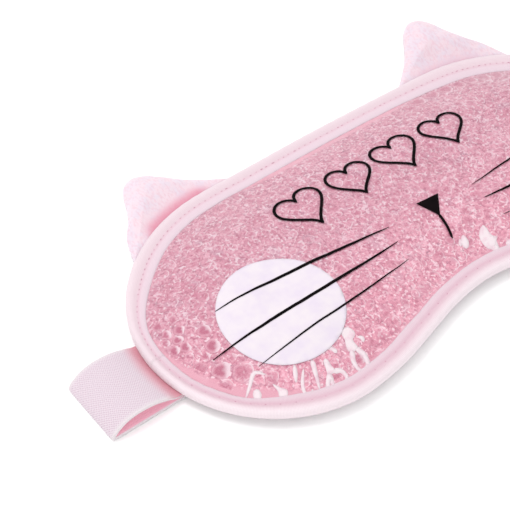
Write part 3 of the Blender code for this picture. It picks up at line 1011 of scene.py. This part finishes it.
# Air trapped against the film, each pocket a brush stroke through (x, y, half width) points in mm.
AIR_POCKETS = [
    [(-51.2, -29.2, 1.5), (-52.6, -30.8, 2.2), (-53.8, -32.6, 1.3), (-54.4, -34.4, 1.6), (-54.6, -36.4, 2.0)],
    [(-55.2, -35.6, 0.9), (-57.0, -38.8, 0.7), (-57.2, -41.4, 0.6), (-56.0, -42.8, 0.5)],
    [(-53.6, -35.6, 1.0), (-52.8, -38.6, 0.8), (-53.6, -41.4, 0.7), (-56.0, -42.8, 0.5)],
    [(-64.0, -33.6, 0.7), (-64.6, -36.0, 1.0), (-65.0, -38.4, 1.6)],
    [(-64.4, -38.0, 0.9), (-62.2, -39.0, 0.7), (-62.0, -41.6, 0.6), (-64.0, -43.0, 0.5)],
    [(-65.4, -38.0, 1.0), (-67.6, -39.6, 0.7), (-69.6, -41.6, 0.6)],
    [(-65.8, -38.6, 0.8), (-66.8, -41.0, 0.5), (-65.4, -42.8, 0.5), (-64.0, -43.0, 0.5)],
    [(-67.4, -31.6, 0.8), (-68.8, -34.8, 0.7), (-71.2, -40.2, 0.3)],
    [(-71.2, -32.4, 0.3), (-74.0, -35.4, 0.5), (-75.4, -38.2, 0.5), (-74.4, -39.8, 0.4), (-72.6, -38.6, 0.2)],
    [(-61.6, -31.6, 0.2), (-60.2, -32.0, 0.6), (-59.6, -34.0, 0.7)],
    [(-81.2, -27.0, 0.3), (-83.6, -24.6, 0.6), (-87.2, -27.0, 0.5), (-90.4, -29.2, 0.3)],
    [(-86.2, -28.8, 0.7), (-87.0, -30.4, 1.3), (-87.8, -32.0, 0.7)],
    [(-81.4, -30.6, 0.2), (-80.8, -33.0, 0.7), (-80.6, -34.6, 1.5), (-80.6, -36.2, 0.6)],
    [(-72.6, -29.8, 0.3), (-74.0, -32.0, 0.7), (-75.6, -34.4, 0.3)],
    [(-50.6, -33.2, 0.3), (-49.8, -34.2, 0.7), (-50.4, -35.4, 0.3)],
    [(3.8, -22.0, 0.5), (2.6, -24.2, 1.3), (1.4, -26.2, 0.7)],
    [(1.9, -22.6, 0.3), (0.9, -23.8, 0.6), (0.2, -24.8, 0.3)],
    [(12.0, -22.8, 0.7), (10.0, -26.0, 2.1), (9.8, -28.6, 2.4), (9.8, -30.8, 1.5), (8.8, -32.2, 0.7)],
    [(13.2, -28.4, 0.3), (11.4, -28.2, 1.2), (9.8, -28.6, 1.7), (8.0, -28.0, 1.2)],
    [(9.8, -30.4, 1.2), (11.0, -32.4, 0.5)],
    [(7.8, -33.4, 0.3), (11.2, -35.6, 0.4), (14.6, -37.0, 0.3)],
    [(14.0, -31.6, 0.7), (16.4, -32.8, 1.4), (19.2, -35.4, 0.7)],
    [(62.0, -33.0, 0.6), (64.0, -36.0, 1.4), (65.2, -39.4, 0.6)],
    [(70.0, -31.6, 0.6), (71.8, -35.0, 0.8), (75.2, -38.6, 0.4)],
    [(50.4, -31.0, 0.7), (52.6, -33.8, 1.5), (53.8, -37.4, 0.8)],
    [(86.6, -24.0, 0.5), (88.8, -26.8, 0.9), (90.6, -28.6, 0.5)],
]


def decal(name, boundary, surface, lift):
    """A thin printed shape that follows the film."""
    piece = plan_solid(
        name,
        boundary,
        1.0 * MM,
        lambda p: film_height(p) + lift + INK,
        lambda p: film_height(p) + lift,
        surface,
    )
    on_pad(piece, "window_film")


def sideways_of(along):
    side = np.column_stack([-along[:, 1], along[:, 0]])
    return side / np.linalg.norm(side, axis=1, keepdims=True)


def ribbon(line, side):
    """The outline of a stroke that reaches to a side of a line, and as far to its other side."""
    return np.vstack([line + side, (line - side)[::-1]])


def stroke(start, bend, end, half_width):
    """The outline of a tapering brush stroke along a quadratic curve, widest in the middle."""
    t = np.linspace(0, 1, 46)[:, None]
    start, bend, end = (np.array(p) * MM for p in (start, bend, end))
    line = (1 - t) ** 2 * start + 2 * t * (1 - t) * bend + t**2 * end
    along = 2 * (1 - t) * (bend - start) + 2 * t * (end - bend)
    width = half_width * MM * (0.18 + 0.82 * np.sin(np.pi * t) ** 0.8)
    return ribbon(line, sideways_of(along) * width)


def round_ends(count):
    """Shares of a brush stroke's width from end to end, closing it roundly at both."""
    t = np.linspace(0, 1, count)
    return np.sqrt(np.clip(np.minimum(t, 1 - t) / 0.12, 0.02, 1))[:, None]


def make_air_pockets():
    surface = air_material()
    for number, spine in enumerate(AIR_POCKETS, 1):
        line = smooth_curve(np.array(spine) * MM, 26)
        side = sideways_of(np.gradient(line[:, :2], axis=0))
        side *= np.maximum(line[:, 2:], 0.1 * MM) * round_ends(len(line))
        pocket = plan_solid(
            f"air_pocket_{number}",
            ribbon(line[:, :2], side),
            0.8 * MM,
            lambda p: film_height(p) - 0.4 * FILM_THICKNESS,
            lambda p: film_underside(p) - 0.25 * MM,
            surface,
        )
        on_pad(pocket, "gel_beads")


def heart_line(centre, width, turn):
    """A plain heart's outline."""
    t = np.linspace(0, 2 * np.pi, 90, endpoint=False) + 0.01
    x = 16 * np.sin(t) ** 3
    y = 13 * np.cos(t) - 5 * np.cos(2 * t) - 2 * np.cos(3 * t) - np.cos(4 * t)
    shape = np.column_stack([x, y + 2]) / 32 * width
    c, s = math.cos(turn), math.sin(turn)
    return smooth_curve((shape @ np.array([[c, s], [-s, c]]) + centre) * MM, 160, closed=True)


def closed_stroke(name, line, surface):
    """A thin printed line of even width along a closed curve, following the film."""
    side = outward_of(line) * HEART_LINE
    grounds = [line + side, line, line - side]
    rows = [np.column_stack([g, film_height(g) + INK_LIFT + INK]) for g in grounds]
    rows += [np.column_stack([g, film_height(g) + INK_LIFT]) for g in grounds[::-1]]
    points = np.stack(rows, axis=1).reshape(-1, 3)
    on_pad(new_piece(name, points, tube_faces(len(line), len(rows), True), surface), "window_film")


def make_prints():
    black = ink_material("ink_black", seen(6, 2, 4), seen(18, 8, 12))
    white = ink_material("ink_white", seen(251, 241, 248), seen(244, 232, 247))
    t = np.linspace(0, 2 * np.pi, 120, endpoint=False)
    disc = CHEEK_RADIUS * np.column_stack([np.cos(t), np.sin(t)])
    for side, label in ((-1, "left"), (1, "right")):
        centre = np.array([side * CHEEK_MIDDLE[0], CHEEK_MIDDLE[1]])
        decal(f"print_cheek_{label}", centre + disc, white, CHEEK_LIFT)
    for label, strokes in WHISKERS.items():
        for number, line in enumerate(strokes, 1):
            decal(f"print_whisker_{label}_{number}", stroke(*line), black, INK_LIFT)
    decal("print_nose", np.array(NOSE) * MM, black, INK_LIFT)
    for number, heart in enumerate(HEARTS, 1):
        closed_stroke(f"print_heart_{number}", heart_line(*heart), black)
    line = smooth_curve(np.array(NOSE_STEM) * MM, 24)
    decal("print_nose_stem", ribbon(line, np.array(NOSE_STEM_HALF_WIDTH) * round_ends(24)), black, INK_LIFT)


# === Strap ===

STRAP_EDGE = 0.35  # how far in its edges are rounded, as a share of its thickness
STRAP_UPPER_ROWS = 84  # how many of its rows lie above the fold


def strap_path():
    """The strap's middle line at +X as (x, z): out from under the binding, over its loop, and back below."""
    tail_low, tail_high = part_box("strap_tail_right")
    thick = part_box("strap_band")[1].z
    low = thick / 2
    top = tail_high.z - low + 0.2 * MM
    sewn = BINDING_LOW - 0.35 * MM - low
    end = tail_high.x
    upper = [
        (tail_low.x, sewn),
        (end - 24 * MM, sewn + 0.3 * MM),
        (end - 20.5 * MM, sewn + 0.45 * (top - sewn)),
        (end - 15.5 * MM, top - 0.5 * MM),
        (end - 10 * MM, top),
        (end - 5.5 * MM, top - 0.9 * MM),
        (end - 2.4 * MM, top - 3.0 * MM),
        (end - 0.9 * MM, low + 0.8 * MM),
        (end - 1.0 * MM, low + 0.1 * MM),
        (end - 2.2 * MM, low),
    ]
    back = np.column_stack([np.linspace(end - 3 * MM, 0, 110), np.full(110, low)])
    return np.vstack([smooth_curve(np.array(upper), 90), back]), thick


def strap_section(half, thick):
    """The strap's cross section as (y, height), with rounded edges."""
    edge = STRAP_EDGE * thick
    across = np.linspace(-half + edge, half - edge, 34)
    shoulder, round_height = half - 0.3 * edge, 0.35 * thick
    section = [(y, thick / 2) for y in across]
    section += [(shoulder, round_height), (half, 0.0), (shoulder, -round_height)]
    section += [(y, -thick / 2) for y in across[::-1]]
    section += [(-shoulder, -round_height), (-half, 0.0), (-shoulder, round_height)]
    return np.array(section)


def make_strap():
    surface = elastic_material()
    path, thick = strap_path()
    low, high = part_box("strap_band")
    middle_y, half = (low.y + high.y) / 2 + 0.5 * MM, (high.y - low.y) / 2 + 0.5 * MM
    section = strap_section(half, thick)
    rows, columns = len(path), len(section)
    along = np.gradient(path, axis=0)
    along /= np.linalg.norm(along, axis=1, keepdims=True)
    normal = np.column_stack([-along[:, 1], along[:, 0]])
    line = path[:, None] + normal[:, None] * section[None, :, 1:]
    y = np.tile(section[:, 0], rows)
    uv = np.column_stack([np.repeat(run_along(path), columns), y]) / MM
    outer_side = section[:, 1] > 0
    from_edge = half - np.abs(section[:, 0])
    under = from_edge < STRAP_EDGE * thick
    selvedge = np.tile(np.where(outer_side, 1 - ease(0.8, 1.3, from_edge), under), rows)
    outer_side = np.tile(outer_side, rows)
    upper_run = np.repeat(np.arange(rows) < STRAP_UPPER_ROWS, columns)
    for side, label in ((-1, "left"), (1, "right")):
        points = np.column_stack([side * line[..., 0].ravel(), middle_y + y, line[..., 1].ravel()])
        obj = new_piece(f"strap_{label}_soft", points, capped_tube(rows, columns), surface)
        set_uv(obj, "strap", uv)
        # Painted pink shade next to the pad, on the strap's upper run.
        near_pad = 1 - ease(0, 5.5, -measure_inset(points[:, :2]))
        set_value(obj, "painted_contact_shade", near_pad * upper_run * outer_side)
        # Where the fold's inside gets its painted pink light and glow.
        set_value(obj, "inner", ~outer_side * (1 - selvedge))
        set_value(obj, "selvedge", selvedge)
        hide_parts(f"strap_tail_{label}", "strap_band")
        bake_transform(obj)


# === Ears ===

EAR_INWARD = {"left": 1, "right": -1}
EAR_TILTS = {"left": math.radians(-6), "right": math.radians(8)}
EAR_STRETCH = {"left": 1.0, "right": 1.09}  # how tall it is, as a share of the shape below
EAR_CREASE_SHADE = {"left": 1.0, "right": 0.45}  # how strong the painted shade in the fold at its base is
EAR_CENTRE = (1.2, 10.5)  # in mm, as its edge
EAR_SIDES = {"front": (1, 5.2 * MM), "back": (-1, 2.7 * MM)}  # which way each puffs out, and how far

# An ear's edge in mm from its hinge, along the hinge towards the mask's middle and then away from the mask.
EAR_EDGE = [
    (22.5, -3.5), (17.0, 0.6), (13.0, 6.2), (10.2, 12.1), (7.6, 17.5), (3.7, 20.9),
    (-0.7, 20.5), (-4.4, 17.4), (-8.8, 12.0), (-14.0, 7.0), (-19.6, 2.6), (-26.5, -5.0),
]


def ear_frame(label):
    joint = next(j for j in frame["joints"] if j["name"] == f"ear_{label}_flop")
    place, line = Vector(joint["pos_m"]), Vector(joint["axis"]).normalized()
    turn = Matrix.Rotation(EAR_TILTS[label], 3, line)
    across = turn @ Vector((-line.y, line.x, 0.0))
    return np.array(place), np.array(line), np.array(across), np.cross(line, across)


def ear_rim(label):
    """The ear's edge in its own frame: the shaped sides, closed along the mask's outline."""
    place, line, across, _ = ear_frame(label)
    inward = EAR_INWARD[label]
    edge = np.array(EAR_EDGE) * MM * (inward, EAR_STRETCH[label])
    flat = np.array([line[:2], across[:2] / np.linalg.norm(across[:2])])
    seam = (OUTLINE - OUTWARD * 0.7 * MM - place[:2]) @ flat.T
    seam = seam[seam[:, 1] > -30 * MM]
    seam = seam[np.argsort(seam[:, 0])]
    u = np.linspace(edge[-1, 0], edge[0, 0], 30)
    base = np.column_stack([u, np.interp(u, seam[:, 0], seam[:, 1])])
    edge[0, 1], edge[-1, 1] = base[-1, 1], base[0, 1]
    sides = smooth_curve(edge, 130)
    sides[0], sides[-1] = base[-1], base[0]
    loop = np.vstack([base, sides[1:-1]])
    return loop if inward > 0 else loop[::-1]


def ear_side(flat, share, crown, seed):
    """One cloth's outer and inner face over a ring of points at a share of the ear's size."""
    full = 0.36 + 0.64 * ease(-2, 11, flat[:, 1])
    bulge = 1 - share * share
    puff = crown * full * bulge**0.55
    wrinkle = 0.35 * MM * waves(flat, 7 * MM, seed) * bulge
    wrinkle += 0.10 * MM * waves(flat, 2.4 * MM, SEED + 9) * bulge
    outer = np.column_stack([flat, 0.45 * MM + puff + wrinkle])
    return outer, np.column_stack([flat, 0.05 * MM + 0.85 * puff + wrinkle])


def make_ear(label, surface):
    place, line, across, up = ear_frame(label)
    rim = ear_rim(label)
    inward = EAR_INWARD[label]
    centre = np.array(EAR_CENTRE) * MM * (inward, 1)
    shares = 1 - np.linspace(0, 1, 30)[:-1] ** 1.5
    for side, (sign, crown) in EAR_SIDES.items():
        pairs = [ear_side(centre + s * (rim - centre), s, crown, SEED + 5 + inward) for s in shares]
        rings = [outer for outer, _ in pairs[::-1]] + [inner for _, inner in pairs]
        local = np.vstack(rings)
        world = place + local @ np.array([line, across, sign * up])
        obj = new_piece(f"ear_{label}_{side}_soft", world, capped_tube(len(rings), len(rim)), surface)
        # Painted shade in a deeper pink in the fold at the ear's base, fading along the base away from its
        # middle.
        painted_crease_shade = EAR_CREASE_SHADE[label] * (1 - ease(-1, 6, -measure_inset(world[:, :2])))
        set_value(obj, "painted_crease_shade", painted_crease_shade * (1 - ease(10, 19, np.abs(local[:, 0]))))
        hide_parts(f"ear_{label}_{side}_cloth")
        if side == "front":
            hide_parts(f"ear_{label}_wadding")
        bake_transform(obj)


# === Stage ===

CAMERA_PLACE = (-238.06 * MM, -223.36 * MM, 329.04 * MM)
CAMERA_TARGET = (-49.55 * MM, 18.78 * MM, 0.0)
CAMERA_LENS = 97.12
SENSOR_WIDTH = 36.0
SKY_STRENGTH = 1.09
LAMPS = {  # place, size and power
    "key": ((-0.25, 0.35, 0.85), 0.5, 3.3),
    "fill": ((-0.7, -0.45, 0.6), 0.6, 1.0),
}
FLOOR_HALF = 6.0
FLOOR_LEVEL = -0.2 * MM


def add_to_scene(name, data, place, turn):
    obj = bpy.data.objects.new(name, data)
    obj.location = place
    obj.rotation_mode = "QUATERNION"
    obj.rotation_quaternion = turn
    bpy.context.scene.collection.objects.link(obj)
    return obj


def make_stage():
    s = Surface("white_floor")
    colour = s.ramp(s.noise(3.0, 1.0, s.position()), [(0.0, (0.97, 0.97, 0.97)), (1.0, (0.98, 0.98, 0.98))])
    surface = s.plain(Base_Color=colour, Roughness=0.9, Specular_IOR_Level=0.2)
    corners = [(x * FLOOR_HALF, y * FLOOR_HALF, FLOOR_LEVEL) for x, y in ((-1, -1), (1, -1), (1, 1), (-1, 1))]
    new_piece("floor", corners, [(0, 1, 2, 3)], surface)

    world = bpy.data.worlds.new("studio")
    world.use_nodes = True
    sky = world.node_tree.nodes["Background"]
    sky.inputs["Color"].default_value = (1.0, 1.0, 1.0, 1.0)
    sky.inputs["Strength"].default_value = SKY_STRENGTH
    bpy.context.scene.world = world

    for name, (place, size, power) in LAMPS.items():
        light = bpy.data.lights.new(name, "AREA")
        light.shape = "DISK"
        light.size = size
        light.energy = power
        lamp = add_to_scene(name, light, place, Vector(place).to_track_quat("Z", "Y"))
        lamp.visible_glossy = False  # the film would mirror its disc as a pale patch

    camera = bpy.data.cameras.new("camera")
    camera.lens = CAMERA_LENS
    camera.sensor_width = SENSOR_WIDTH
    camera.clip_start = 0.01
    direction = Vector(CAMERA_TARGET) - Vector(CAMERA_PLACE)
    viewer = add_to_scene("camera", camera, CAMERA_PLACE, direction.to_track_quat("-Z", "Y"))
    bpy.context.scene.camera = viewer
    bpy.context.scene.view_settings.view_transform = "Standard"


make_bed()
make_beads()
make_film()
make_binding()
make_stitches()
make_back_panel()
make_air_pockets()
make_prints()
make_strap()
ear_plush = plush_material("ear_plush", seen(253, 229, 239), seen(246, 229, 242), seen(238, 160, 181))
make_ear("left", ear_plush)
make_ear("right", ear_plush)
make_stage()
